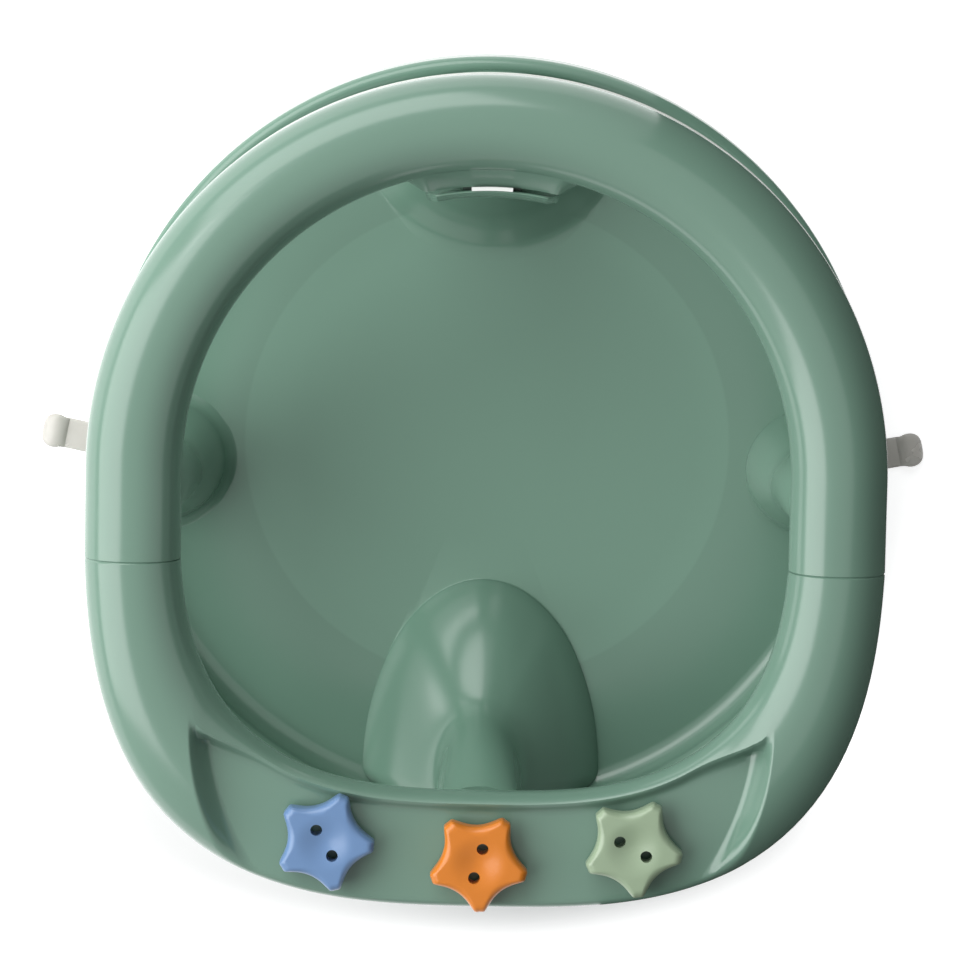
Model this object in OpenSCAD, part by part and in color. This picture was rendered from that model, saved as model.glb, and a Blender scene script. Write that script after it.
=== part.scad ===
// Baby bath seat: a round base on four suction cups, four hollow posts, a C-shaped arm ring
// and a front bar with a flat play panel that carries three spinning star buttons.
// The front faces -Y. Each piece is drawn about the centre of the seat, on the floor of the bath,
// and centred() moves it, so that the origin lies in the middle of the whole outline.

/* [Arm ring] */
// Width of the arm ring over its sides
ring_w = 340; // [320:1:360]
// Width of the ring's tube at the sides and back
tube_w = 41; // [36:0.5:44]
// Height of the ring's tube, from its widest level to its top
tube_rise = 20; // [17:0.5:23]
// Height of the tube's widest level above the bath
ring_z = 148; // [140:1:158]
// Thickness of every moulded wall
wall = 3; // [2.4:0.1:3.4]
// Distance of the two seams in front of the centre
seam_y = 38; // [32:1:44]

/* [Front bar] */
// Reach of the bar in front of the centre
bar_reach = 185.5; // [180:0.5:191]
// Depth of the bar from front to back, at its middle
bar_depth = 50; // [47:1:53]
// Height of the play panel above the tube's widest level
panel_up = 8; // [6:0.5:10]
// Width of the rounded lip behind the panel
lip_w = 6; // [5:0.5:8]

/* [Stars] */
// Radius of a star to its tips
star_r = 20.4; // [18:0.2:22]
// Radius of a star at its valleys
star_valley_r = 14.4; // [13:0.2:15.4]
// Thickness of a star
star_h = 9; // [7:0.5:11]
// Sideways spacing of the stars
star_pitch = 65.5; // [60:0.5:70]
// How far the side stars stand behind the middle one
star_back = 7.5; // [6:0.5:9]
// Diameter of a star's two holes
star_hole_d = 5; // [4:0.2:5.4]
// Spacing of a star's two holes
star_hole_gap = 12.9; // [12.6:0.1:13.6]

/* [Base] */
// Diameter of the base over its rim
base_d = 345; // [340:1:356]
// Height of the base's rim above the bath
rim_z = 40; // [37:0.5:44]
// Height of the seat floor above the bath
floor_z = 24; // [23:0.5:26]
// Radius of the sunk disc in the seat floor
disc_r = 108; // [100:1:112]
// Diameter of a suction cup
cup_d = 44; // [38:1:46]
// Reach of the pull tabs past the rim
tab_out = 25; // [20:0.5:30]
// How far the left tab, which lies flatter, reaches past the base
tab_out_left = 29; // [20:0.5:32]

/* [Hidden] */
$fn = 64;

// Ring and tube
outer_r = ring_w / 2;
inner_r = outer_r - tube_w;
line_r = outer_r - tube_w / 2;
tube_n = 2.2;
lip_angle = 52;
section_steps = 23;
seam_tongue = 10;
seam_root = 8;
seam_clear = 0.8;

// Pale bead along the back of the ring
bead_out = 0.8;
bead_h = 1.6;
bead_z = ring_z - 7;
bead_turn = 25;

// Front bar in plan: two rounded outlines about a point in front of the centre, which pass
// through the seams
outline_n = 2.95;
outline_y = 4;
bar_b_out = bar_reach - outline_y;
bar_b_in = bar_b_out - bar_depth;
panel_z = ring_z + panel_up;
panel_under = panel_z - wall;
lip_rise = 3;
panel_edge = 0.14;
crease_start = 0.925;
crease_end = 1.07;
lip_start = 0.56;
lip_top = 0.64;
lip_fall_start = 0.95;
lip_fall_long = 0.38;
lip_soft = 1.3 * lip_w / bar_depth;
crest_turn = 180 * lip_top;
crest_x = pow(abs(cos(crest_turn)), 2 / tube_n);
crest_z = pow(sin(crest_turn), 2 / tube_n);
crease_in = 33;
crease_out = 60;

// Posts
post_r = line_r - 1.5;
post_half = 18;
shoulder = 0.36;
side_turn = 4;
lip_z = ring_z - tube_rise * pow(sin(lip_angle), 2 / tube_n);
plate_t = 4;
post_steps = 11;
post_sides = 28;
column_r = 7.6;
rib_t = 2;
boss_r = 6;
front_screw_y = bar_reach - bar_depth + 12.5;

// Back tongue and catch, with the ring's flange beyond the slot
flange_reach = 6.6;
flange_t = 6;
slot_w = 1.6;
tongue_r = inner_r - flange_reach - slot_w;
tongue_t = 3.6;
tongue_half_angle = 12.6;
catch_half_angle = 4.1;
tongue_top = ring_z - 1;

// Fasteners
screw_r = 2;
screw_clear_r = 2.25;
screw_head_r = 3.9;
screw_head_h = 2.6;
post_screw_len = 14;
hub_r = 3.5;
hub_clear = 0.06;
hub_end = 0.25;
star_clear = 0.4;
star_lift = lip_rise + star_clear;
collar_r = hub_r + 2;
star_screw_r = 1.25;
star_screw_len = 9;
washer_r = 6;
washer_t = 1.2;
star_hollow_r = 16;
tip_round = 16;
star_y = bar_reach - (bar_depth - lip_w) / 2;
star_spots = [[-star_pitch, star_back - star_y], [0, -star_y], [star_pitch, star_back - star_y]];
star_turns = [122, 254.8, -28.4];

// Base and cups
base_r = base_d / 2;
skirt_z = 13;
column_low = 16;
hole_r = 4.6;
cup_r = cup_d / 2;
plug_h = 8;
tab_w = 13.6;
tab_t = 1.8;
tab_turn = 15;
tab_bead_l = 11.5;
tab_bead_w = 15.2;
tab_bead_h = 4.8;

function bend(v, e) = sign(v) * pow(abs(v), e);
function smooth(s) = s <= 0 ? 0 : s >= 1 ? 1 : s * s * (3 - 2 * s);
function mix(a, b, s) = a + (b - a) * s;

module centred() translate([0, (bar_reach - base_r) / 2, 0]) children();

// Tube section as [across, height], from the outer lower lip over the top to the inner one.
// across runs from -1 at the inner edge to 1 at the outer edge.
function section_angle(k) = mix(-lip_angle, 180 + lip_angle, k / (section_steps - 1));
function tube_point(k, half, rise) = [
  half * bend(cos(section_angle(k)), 2 / tube_n),
  rise * bend(sin(section_angle(k)), 2 / tube_n)
];

module ring_section(cut = 0, trim = 0) {
  last = section_steps - 1 - trim;
  outer = [for (k = [trim : last]) tube_point(k, tube_w / 2 - cut, tube_rise - cut)];
  inner = [for (k = [last : -1 : trim])
    tube_point(k, tube_w / 2 - cut - wall, tube_rise - cut - wall)];
  translate([line_r, ring_z]) polygon(concat(outer, inner));
}

// Straight stretch of ring beside the seat, on the right side.
module ring_side(depth, cut = 0, trim = 0) {
  rotate([90, 0, 0]) linear_extrude(depth) ring_section(cut, trim);
}

module post_boss(z_low) {
  translate([0, 0, z_low]) cylinder(r = boss_r, h = ring_z + tube_rise - wall / 2 - z_low);
}

// Stretch of ring on one side, from one distance in front of the centre to another.
module ring_stretch(from, to, cut = 0, trim = 0) {
  translate([0, -from, 0]) ring_side(to - from, cut, trim);
}

// The C-shaped ring: half a turn of tube, two straight sides, a tongue at each seam that goes
// into the bar, three screw bosses and the flange that hooks over the back post.
module ring_back() {
  color([0.55, 0.67, 0.62]) centred() difference() {
    union() {
      rotate_extrude(angle = 180) ring_section();
      for (side = [0, 1]) mirror([side, 0, 0]) {
        ring_stretch(0, seam_y);
        ring_stretch(seam_y - seam_root, seam_y + seam_tongue, wall + seam_clear, 2);
        ring_stretch(seam_y - seam_root - 1, seam_y, wall - 0.4, 1);
      }
      rotate([0, 0, bead_turn]) rotate_extrude(angle = 180 - 2 * bead_turn)
        translate([outer_r - wall, bead_z]) square([wall + bead_out, bead_h]);
      rotate([0, 0, 88 - tongue_half_angle]) rotate_extrude(angle = 2 * tongue_half_angle + 4)
        translate([inner_r - flange_reach, ring_z - flange_t + 1])
        square([flange_reach + 1, flange_t]);
      for (p = ring_posts) at_post(p) post_boss(lip_z);
    }
    for (p = ring_posts) at_post(p) translate([0, 0, lip_z - 1])
      cylinder(r = screw_r, h = post_screw_len);
  }
}

// Front bar

// An outline is [a, b]: its half width at its own centre and its reach in front of that.
function outline(half, b) =
  [half / pow(1 - pow((seam_y - outline_y) / b, outline_n), 1 / outline_n), b];
function outline_r(turn, o) =
  pow(pow(abs(cos(turn)) / o[0], outline_n) + pow(abs(sin(turn)) / o[1], outline_n), -1 / outline_n);
function outline_point(turn, o) =
  [outline_r(turn, o) * cos(turn), -outline_y - outline_r(turn, o) * sin(turn)];
outer_line = outline(outer_r, bar_b_out);
inner_line = outline(inner_r, bar_b_in);
start_in = atan((seam_y - outline_y) / inner_r);
start_out = atan((seam_y - outline_y) / outer_r);

// Stations run from the right seam to the left one. The inner edge turns sooner than the
// outer edge up to the panel's end, so that one station lies along the crease there.
tube_stops = [for (s = [0 : 7]) s * 0.87 / 7];
crease_stops = [for (s = [0 : 7]) 0.925 + s * 0.145 / 7];
panel_stops = [for (s = [1 : 9]) 1.07 + 0.93 * s / 9];
right_stops = concat(tube_stops, crease_stops, panel_stops);
left_stops = [for (i = [len(right_stops) - 2 : -1 : 0]) 4 - right_stops[i]];
stops = concat(right_stops, left_stops);

// Angle at a stop: 0 is the right seam, 1 the crease, 2 the middle, 3 the left side's crease.
function stop_angle(stop, start, crease) =
  stop > 2 ? 180 - stop_angle(4 - stop, start, crease) :
  stop < 1 ? mix(start, crease, stop) : mix(crease, 90, stop - 1);
function near_stop(stop) = stop > 2 ? 4 - stop : stop;

// Share of panel in the section at a stop, from 0 on the round tube to 1 on the panel.
function panel_share(stop) =
  let (s = min(1, max(0, (near_stop(stop) - crease_start) / (crease_end - crease_start))))
  mix(smooth(s), s, 0.35 * s);

// How far the lip has fallen from the tube's own side, from 0 at the crease to 1.
function lip_fall(stop) = smooth((near_stop(stop) - lip_fall_start) / lip_fall_long);

// The lip's crest at a stop, as [across, height].
function lip_crest(stop) =
  mix([-crest_x, tube_rise * crest_z], [lip_soft - 1, panel_up + lip_rise], lip_fall(stop));

// Section on the panel: an edge radius, the flat, the rise to the lip's crest and its round side,
// which is the tube's own side made lower and narrower.
function panel_point(k, stop) =
  let (
    s = section_angle(k) / 180,
    crest = lip_crest(stop),
    foot = crest[0] + mix(0.12, lip_soft, lip_fall(stop)),
    rise = (s - lip_start) / (lip_top - lip_start),
    turn = mix(crest_turn, 180, (s - lip_top) / (1 - lip_top)),
    inward = (-bend(cos(turn), 2 / tube_n) - crest_x) / (1 - crest_x)
  )
  s < 0 || s > 1 ? tube_point(k, 1, tube_rise) :
  s < 0.16 ? [1 - panel_edge * (1 - cos(90 * s / 0.16)), panel_up * sin(90 * s / 0.16)] :
  s < lip_start ? [mix(1 - panel_edge, foot, (s - 0.16) / (lip_start - 0.16)), panel_up] :
  s < lip_top ? [mix(foot, crest[0], rise), mix(panel_up, crest[1], smooth(rise))] :
  [mix(crest[0], -1, inward), crest[1] * bend(sin(turn), 2 / tube_n) / crest_z];

function bar_outer(k, stop) =
  let (t = tube_point(k, 1, tube_rise), p = panel_point(k, stop), share = panel_share(stop))
  [mix(t[0], p[0], share), ring_z + mix(t[1], p[1], share)];

function bar_inner(k, stop) =
  let (t = tube_point(k, 1 - 2 * wall / tube_w, tube_rise - wall), share = panel_share(stop))
  [t[0], ring_z + mix(t[1], min(t[1], panel_up - wall), share)];

// Puts a section point in place between the two outlines. The sections are straight at the
// seam and fan out towards the crease.
function bar_place(p, stop) =
  let (
    across = (p[0] + 1) / 2,
    turn_in = stop_angle(stop, start_in, crease_in),
    turn_out = stop_angle(stop, start_out, crease_out),
    turn = mix(turn_in, turn_out, across),
    straight = mix(outline_point(turn_in, inner_line), outline_point(turn_out, outer_line), across),
    fanned = mix(outline_point(turn, inner_line), outline_point(turn, outer_line), across),
    place = mix(straight, fanned, smooth(2 * near_stop(stop)))
  ) [place[0], place[1], p[1]];

module bar_shell() {
  n = section_steps;
  loop = 2 * n;
  last = len(stops) - 1;
  points = [for (stop = stops) each concat(
    [for (k = [0 : n - 1]) bar_place(bar_outer(k, stop), stop)],
    [for (k = [n - 1 : -1 : 0]) bar_place(bar_inner(k, stop), stop)])];
  sides = [for (i = [0 : last - 1]) for (k = [0 : loop - 1])
    let (a = i * loop + k, b = i * loop + (k + 1) % loop)
    each [[a, b + loop, b], [a, a + loop, b + loop]]];
  caps = [for (k = [0 : n - 2])
    let (a = k, b = k + 1, c = loop - 2 - k, d = loop - 1 - k)
    each [[a, b, c], [a, c, d],
      [last * loop + a, last * loop + c, last * loop + b],
      [last * loop + a, last * loop + d, last * loop + c]]];
  polyhedron(points, concat(sides, caps), convexity = 8);
}

module front_bar() {
  color([0.5, 0.63, 0.57]) centred() difference() {
    union() {
      bar_shell();
      at_post(front_post) translate([0, 0, lip_z])
        cylinder(r = boss_r, h = panel_under + 1 - lip_z);
    }
    for (spot = star_spots) translate([spot[0], spot[1], ring_z])
      cylinder(r = hub_r + hub_clear, h = 2 * tube_rise);
    at_post(front_post) translate([0, 0, lip_z - 1]) cylinder(r = screw_r, h = post_screw_len);
  }
}

// Stars

// Five hollow sides, each an arc about a point outside the star, and round tips between them.
function star_side(off) =
  let (reach = star_valley_r + star_hollow_r, room = pow(star_hollow_r, 2) - pow(reach * sin(off), 2))
  reach * cos(off) - sqrt(max(0, room));
function star_edge(turn) =
  let (off = abs((turn + 3600 - 90) % 72 - 36))
  pow(pow(star_side(off), -tip_round) + pow(star_r * 1.01, -tip_round), -1 / tip_round);

module star_outline(shrink = 0) {
  polygon([for (turn = [0 : 4 : 356])
    (star_edge(turn) - shrink) * [cos(turn), sin(turn)]]);
}

// A thick star with stepped round edges, a dished middle and two holes. A collar under it stands on
// the panel and lifts the tips over the lip, and a hub goes down through the panel.
module star(i) {
  dish = 2;
  dish_r = 30;
  edge = 2.8;
  steps = 4;
  step_in = 0.3;
  z = panel_z + star_lift;
  hub_low = panel_under - hub_end;
  spot = star_spots[i];
  translate([spot[0], spot[1], 0]) rotate([0, 0, star_turns[i]]) difference() {
    union() {
      for (step = [0 : steps]) let (turn = 90 * step / steps, low = step_in * step)
        translate([0, 0, z + low]) linear_extrude(star_h - edge + edge * sin(turn) - low)
          star_outline(edge * (1 - cos(turn)));
      translate([0, 0, panel_z + star_clear]) cylinder(r = collar_r, h = star_lift);
      translate([0, 0, hub_low]) cylinder(r = hub_r, h = z - hub_low + 1);
    }
    translate([0, 0, z + star_h - dish + dish_r]) sphere(r = dish_r);
    for (side = [-1, 1]) translate([side * star_hole_gap / 2, 0, panel_z])
      cylinder(d = star_hole_d, h = star_lift + star_h + 1);
    translate([0, 0, hub_low - 1]) cylinder(r = star_screw_r, h = star_screw_len + 0.5);
  }
}

module star_blue() color([0.42, 0.55, 0.7]) centred() star(0);
module star_orange() color([0.88, 0.56, 0.24]) centred() star(1);
module star_green() color([0.64, 0.73, 0.6]) centred() star(2);

module star_washer(i) {
  z = panel_under - hub_end - washer_t;
  color("gainsboro") centred() translate([star_spots[i][0], star_spots[i][1], z]) difference() {
    cylinder(r = washer_r, h = washer_t);
    translate([0, 0, -1]) cylinder(r = star_screw_r, h = washer_t + 2);
  }
}

// Pan head screw that points up from z = 0 under its head.
module pan_screw(shank_r, shank_len, head_r, head_h) {
  difference() {
    union() {
      cylinder(r = shank_r, h = shank_len);
      translate([0, 0, -head_h * 0.55]) cylinder(r = head_r, h = head_h * 0.55);
      translate([0, 0, -head_h]) cylinder(r1 = head_r * 0.7, r2 = head_r, h = head_h * 0.45);
    }
    for (turn = [0, 90]) rotate([0, 0, turn])
      translate([-head_r * 0.55, -0.4, -head_h - 0.5]) cube([head_r * 1.1, 0.8, 1.5]);
  }
}

module star_screw(i) {
  z = panel_under - hub_end - washer_t;
  color("silver") centred() translate([star_spots[i][0], star_spots[i][1], z])
    pan_screw(star_screw_r, star_screw_len - 1, 3, 2);
}

// Base

// A post is [turn, screw's distance from the centre, inner edge at the floor, half width there,
// inner edge at the top, half width there, lean of the column].
front_post = [-90, front_screw_y, 62, 53, bar_reach - bar_depth + 1, post_half, 22];
ring_posts = [
  [-side_turn, post_r, 116, 29, post_r - post_half, post_half, 8],
  [180 + side_turn, post_r, 116, 29, post_r - post_half, post_half, 8],
  [90, post_r, 96, 52, tongue_r - tongue_t, 28, 0]
];
posts = concat([front_post], ring_posts);

module at_post(p) rotate([0, 0, p[0]]) translate([p[1], 0, 0]) children();

// Share of the way from a post's foot to its column at a level, from 0 at the floor to 1 at the
// top: a steep foot, a round shoulder low down, then a column that leans a little.
function post_share(level) =
  let (rise = pow(max(0.001, level / shoulder), 1.25)) pow(pow(rise, -6) + 1, -1 / 6);

// A post's outline at a level, thinner by cut.
function post_ring(level, p, cut) =
  let (
    s = post_share(level + cut / 2 / (lip_z - floor_z)),
    half = mix(p[3], p[5], s) - cut,
    near = p[1] - mix(p[2], p[4] - p[6] * (1 - level), s) - cut,
    far = mix(base_r - 6, p[1] + post_half, smooth(level)) - p[1] - cut
  )
  [for (k = [0 : post_sides - 1]) let (turn = 360 * k / post_sides)
    [(cos(turn) < 0 ? near : far) * bend(cos(turn), 2 / 2.2),
      half * bend(sin(turn), 2 / 2.2),
      mix(floor_z, lip_z, level)]];

// A post between two levels, about its screw.
module post_solid(p, low, high, cut) {
  points = [for (i = [0 : post_steps]) each post_ring(mix(low, high, pow(i / post_steps, 1.3)), p, cut)];
  n = post_sides;
  sides = [for (i = [0 : post_steps - 1]) for (k = [0 : n - 1])
    let (a = i * n + k, b = i * n + (k + 1) % n)
    each [[a, b + n, b], [a, a + n, b + n]]];
  ends = [
    [for (k = [0 : n - 1]) k],
    [for (k = [n - 1 : -1 : 0]) post_steps * n + k]
  ];
  polyhedron(points, concat(sides, ends), convexity = 4);
}

module base_shell() {
  bowl_r = 16;
  steps = 10;
  rim_r = 4;
  bowl = [for (k = [0 : steps]) let (turn = -90 + 80 * k / steps)
    [base_r - 2 * rim_r - bowl_r + bowl_r * cos(turn), floor_z + bowl_r + bowl_r * sin(turn)]];
  rim = [for (k = [0 : steps]) let (turn = 180 - 180 * k / steps)
    [base_r - rim_r + rim_r * cos(turn), rim_z - rim_r + rim_r * sin(turn)]];
  under = [for (k = [steps : -1 : 0]) let (turn = -90 + 80 * k / steps)
    [base_r - 2 * rim_r - bowl_r + (bowl_r + wall) * cos(turn),
      floor_z + bowl_r + (bowl_r + wall) * sin(turn)]];
  rotate_extrude() polygon(concat(
    [[0, floor_z - 1.2], [disc_r - 0.8, floor_z - 1.2], [disc_r + 0.8, floor_z]],
    bowl, rim,
    [[base_r, skirt_z], [base_r - wall, skirt_z], [base_r - wall, rim_z - 2 * rim_r]],
    under,
    [[disc_r + 0.8, floor_z - wall], [disc_r - 0.8, floor_z - wall - 1.2],
      [0, floor_z - wall - 1.2]]));
}

module seat_base() {
  cavity_top = 1 - plate_t / (lip_z - floor_z);
  color([0.44, 0.56, 0.5]) centred() difference() {
    union() {
      difference() {
        union() {
          base_shell();
          for (p = posts) at_post(p) post_solid(p, -0.04, 1, 0);
        }
        for (p = posts) at_post(p) post_solid(p, -0.1, cavity_top, wall);
      }
      for (p = posts) at_post(p) {
        translate([0, 0, column_low]) cylinder(r = column_r, h = lip_z - 1 - column_low);
        intersection() {
          post_solid(p, 0, 1, wall / 2);
          translate([-rib_t / 2, -base_r, floor_z - wall / 2])
            cube([rib_t, 2 * base_r, lip_z - floor_z]);
        }
      }
      back_tongue();
    }
    for (p = posts) at_post(p) {
      translate([0, 0, column_low - 1]) cylinder(r = hole_r, h = lip_z - plate_t - column_low + 1);
      cylinder(r = screw_clear_r, h = lip_z + 1);
    }
  }
}

// Upper end of the back post, which stands inside the ring's back edge.
module back_tongue() {
  low = lip_z - 10;
  rotate([0, 0, 90 - tongue_half_angle]) rotate_extrude(angle = 2 * tongue_half_angle)
    translate([tongue_r - tongue_t, low]) {
      square([tongue_t, tongue_top - low - tongue_t / 2]);
      translate([tongue_t / 2, tongue_top - low - tongue_t / 2]) circle(d = tongue_t);
    }
}

module back_catch() {
  color("white") centred() rotate([0, 0, 90 - catch_half_angle])
    rotate_extrude(angle = 2 * catch_half_angle)
    translate([tongue_r, ring_z - flange_t + 1]) square([slot_w, flange_t - 0.4]);
}

module post_screws() {
  color("silver") centred() for (p = posts) at_post(p) translate([0, 0, lip_z - plate_t])
    pan_screw(screw_r, post_screw_len + plate_t - 2, screw_head_r, screw_head_h);
}

// Suction cup with its plug and pull tab, about its own middle, with the tab towards +X.
module cup(turn, out = tab_out) {
  lip = 3;
  edge_t = 1.6;
  hollow_z = 6.5;
  neck_r = column_r + 0.4;
  neck_z = column_low - 4;
  hollow = [for (k = [0 : 6]) let (s = k / 6) [(cup_r - lip) * s, hollow_z * (1 - s * s)]];
  back = [for (k = [0 : 6]) let (s = k / 6)
    [mix(cup_r, neck_r, s), mix(edge_t, neck_z, pow(s, 1.5))]];
  color([0.86, 0.86, 0.84]) {
    rotate_extrude() polygon(concat(hollow, [[cup_r, 0]], back, [[neck_r, column_low],
      [hole_r, column_low], [hole_r, column_low + plug_h - 2],
      [hole_r - 1.2, column_low + plug_h], [0, column_low + plug_h]]));
    rotate([0, 0, turn]) cup_tab(out);
  }
}

// Pull tab: a strap that lies just off the bath, with a round bead at its end.
module cup_tab(out) {
  lift = 0.4;
  bead_r = tab_bead_w / 2;
  middle = base_r + out - post_r - tab_bead_l / 2;
  translate([cup_r - 2, -tab_w / 2, lift]) cube([middle - cup_r + 2, tab_w, tab_t]);
  hull() for (side = [-1, 1]) translate([middle, side * bead_r / 2, tab_bead_h / 2])
    resize([tab_bead_l, bead_r, tab_bead_h]) sphere(r = bead_r / 2, $fn = 20);
}

module cup_front() centred() at_post(posts[0]) cup(180);
module cup_right() centred() at_post(posts[1]) cup(tab_turn);
module cup_left() centred() at_post(posts[2]) cup(-tab_turn, tab_out_left);
module cup_back() centred() at_post(posts[3]) cup(180);

seat_base();
ring_back();
front_bar();
back_catch();
star_blue();
star_orange();
star_green();
star_washer(0);  // star_washer_left
star_washer(1);  // star_washer_middle
star_washer(2);  // star_washer_right
star_screw(0);  // star_screw_left
star_screw(1);  // star_screw_middle
star_screw(2);  // star_screw_right
post_screws();
cup_front();
cup_back();
cup_left();
cup_right();
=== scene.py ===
# %% [markdown]
# # A baby bath seat, dressed for its picture
# The real seat is moulded plastic: a round tray with hollow posts, an arm ring, a front bar with a play
# panel and three star buttons, all on soft suction cups. The imported model already holds every piece at its
# real size. This lesson builds finer meshes from the same few measures, gives them glossy plastic, and
# sets a plain studio around them. The front of the seat faces -Y.

# %% Load the imported model
from collections import namedtuple
from math import atan, cos, pi, radians, sin, sqrt

import bmesh
import bpy
from mathutils import Matrix, Vector


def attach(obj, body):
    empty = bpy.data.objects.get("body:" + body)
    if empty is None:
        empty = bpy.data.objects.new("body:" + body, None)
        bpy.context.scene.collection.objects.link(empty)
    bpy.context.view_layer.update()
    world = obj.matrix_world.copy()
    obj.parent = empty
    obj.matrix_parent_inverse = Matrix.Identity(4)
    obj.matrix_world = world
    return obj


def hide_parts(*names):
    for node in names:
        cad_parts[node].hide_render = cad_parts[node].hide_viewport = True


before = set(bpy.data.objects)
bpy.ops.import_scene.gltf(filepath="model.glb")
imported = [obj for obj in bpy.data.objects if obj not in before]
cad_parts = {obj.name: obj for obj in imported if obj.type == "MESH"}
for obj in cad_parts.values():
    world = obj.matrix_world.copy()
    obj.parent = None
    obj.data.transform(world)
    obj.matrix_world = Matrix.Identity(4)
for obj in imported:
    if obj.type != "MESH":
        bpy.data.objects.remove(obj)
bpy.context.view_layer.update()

# %% [markdown]
# ## Measures
# All lengths below are in millimetres, as on a drawing, and one helper turns them into Blender's metres.
# Each piece is described about the centre of the round seat. The model's origin lies in the middle of the
# whole outline instead, a little in front of that centre, so the helper also moves every point there.

# %% Measures of the seat
MM = 0.001
RING_R = 170                # outer radius of the arm ring
TUBE_W = 41                 # width of its tube
TUBE_RISE = 20              # height of the tube above its widest level
TUBE_N = 2.2                # how square the tube's section is, 2 is an ellipse
RING_Z = 148                # height of that widest level
WALL = 3
LIP_ANGLE = 52              # where the tube's section stops, in degrees below its widest level
SEAM_Y = 38                 # the two seams lie so far in front of the centre
BAR_REACH = 185.5
BAR_DEPTH = 50
BASE_R = 172.5
RIM_Z = 40
FLOOR_Z = 24
DISC_R = 108
INNER_R = RING_R - TUBE_W
LINE_R = RING_R - TUBE_W / 2
LIP_Z = RING_Z - TUBE_RISE * sin(radians(LIP_ANGLE)) ** (2 / TUBE_N)
SEAT_Y = (BAR_REACH - BASE_R) / 2


def place(x, y, z):
    """A drawing's point, in millimetres about the seat's centre, as a Blender point."""
    return Vector((x, y + SEAT_Y, z)) * MM


def mix(a, b, share):
    return a + (b - a) * share


def ease(share):
    """0 to 1 with a soft start and a soft end."""
    share = min(1, max(0, share))
    return share * share * (3 - 2 * share)


def bend(value, power):
    """A power that keeps the sign, which turns a circle into a rounder or squarer oval."""
    return abs(value) ** power * (1 if value >= 0 else -1)


print("seat centre is", SEAT_Y, "mm behind the origin, lips end at", round(LIP_Z, 1), "mm")

# %% [markdown]
# ## Shader maths in plain Python
# A material is a graph of nodes, and long graphs are hard to read. Here one small class wraps a socket, so
# that `noise * 0.1 + 0.9` adds the nodes for it. Numbers use Math nodes, colours use Mix nodes, because a
# Math node would turn a colour grey, and directions use Vector Math. Every other node comes from one
# method, which takes the node's type, its settings and what its sockets get.

# %% A socket with arithmetic
class Wire:
    """A node's output, which adds a node wherever it meets plus, minus, times or divide."""

    def __init__(self, paint, socket):
        self.paint = paint
        self.socket = socket

    def combine(self, operation, other, swapped=False):
        pair = (other, self) if swapped else (self, other)
        kinds = [item.socket.type for item in pair if isinstance(item, Wire)]
        if "RGBA" in kinds:
            settings = {"data_type": "RGBA", "blend_type": operation}
            return self.paint.node("ShaderNodeMix", settings, {0: 1.0, 6: pair[0], 7: pair[1]}, 2)
        kind = "ShaderNodeVectorMath" if "VECTOR" in kinds else "ShaderNodeMath"
        return self.paint.node(kind, {"operation": operation}, {0: pair[0], 1: pair[1]})

    def __add__(self, other):
        return self.combine("ADD", other)

    def __radd__(self, other):
        return self.combine("ADD", other, True)

    def __sub__(self, other):
        return self.combine("SUBTRACT", other)

    def __rsub__(self, other):
        return self.combine("SUBTRACT", other, True)

    def __mul__(self, other):
        return self.combine("MULTIPLY", other)

    def __rmul__(self, other):
        return self.combine("MULTIPLY", other, True)

    def __truediv__(self, other):
        return self.combine("DIVIDE", other)

    def __rtruediv__(self, other):
        return self.combine("DIVIDE", other, True)

    def blend(self, low, high):
        """The colour that goes from low to high as this value goes from 0 to 1."""
        return self.paint.node("ShaderNodeMix", {"data_type": "RGBA"}, {0: self, 6: low, 7: high}, 2)


class Paint:
    """A new material or world and its nodes."""

    def __init__(self, owner):
        self.owner = owner
        owner.use_nodes = True
        self.tree = owner.node_tree

    def node(self, kind, settings=None, sockets=None, output=0):
        made = self.tree.nodes.new(kind)
        for name, value in (settings or {}).items():
            setattr(made, name, value)
        for name, value in (sockets or {}).items():
            self.feed(made.inputs[name], value)
        return Wire(self, made.outputs[output])

    def feed(self, socket, value):
        if isinstance(value, Wire):
            self.tree.links.new(value.socket, socket)
        elif socket.type == "VECTOR" and isinstance(value, (int, float)):
            socket.default_value = (value, value, value)
        else:
            socket.default_value = value

    def shader(self):
        return next(n for n in self.tree.nodes if n.type == "BSDF_PRINCIPLED")

    def output(self):
        return next(n for n in self.tree.nodes if n.type.startswith("OUTPUT"))


def srgb(red, green, blue):
    """A colour as a screen shows it, 0 to 255, turned into the linear values that shaders use."""
    def linear(c):
        c /= 255
        return c / 12.92 if c < 0.04045 else ((c + 0.055) / 1.055) ** 2.4
    return (linear(red), linear(green), linear(blue), 1.0)


print("maths wires ready")

# %% [markdown]
# ## Moulded plastic
# Polypropylene has one colour all through, yet it never looks flat: its tone drifts a little where the melt
# cooled, the polish of the mould varies, and fine pores soften the gloss. Three noise textures of different
# scale do this, in object coordinates, so that nothing slides when the camera moves. Outside the sunk disc
# the tray's floor is a little darker, and a mask of two ramps keeps that tone off the raised posts.

# %% The plastic's recipe
BLACK = (0, 0, 0, 1)
PORE_DEPTH = 0.1 * MM       # how deep the pores of a surface may look
DISC_BLUR = 0.6 * MM        # half the width of the change of tone at the sunk disc's edge
FLOOR_TONE = 0.9            # tone of the floor round the disc, against the disc's own
RAISED_TONE = 0.96          # tone of rim and posts
RAISED_FROM = 4             # how far above the floor that tone is reached


def noise(paint, spot, scale, detail):
    return paint.node("ShaderNodeTexNoise", None, {"Vector": spot, "Scale": scale, "Detail": detail})


def ramp(paint, value, start, end, low=0.0, high=1.0):
    """A value that runs from low to high while another runs from start to end."""
    sockets = {"Value": value, "From Min": start, "From Max": end, "To Min": low, "To Max": high}
    return paint.node("ShaderNodeMapRange", None, sockets)


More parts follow.
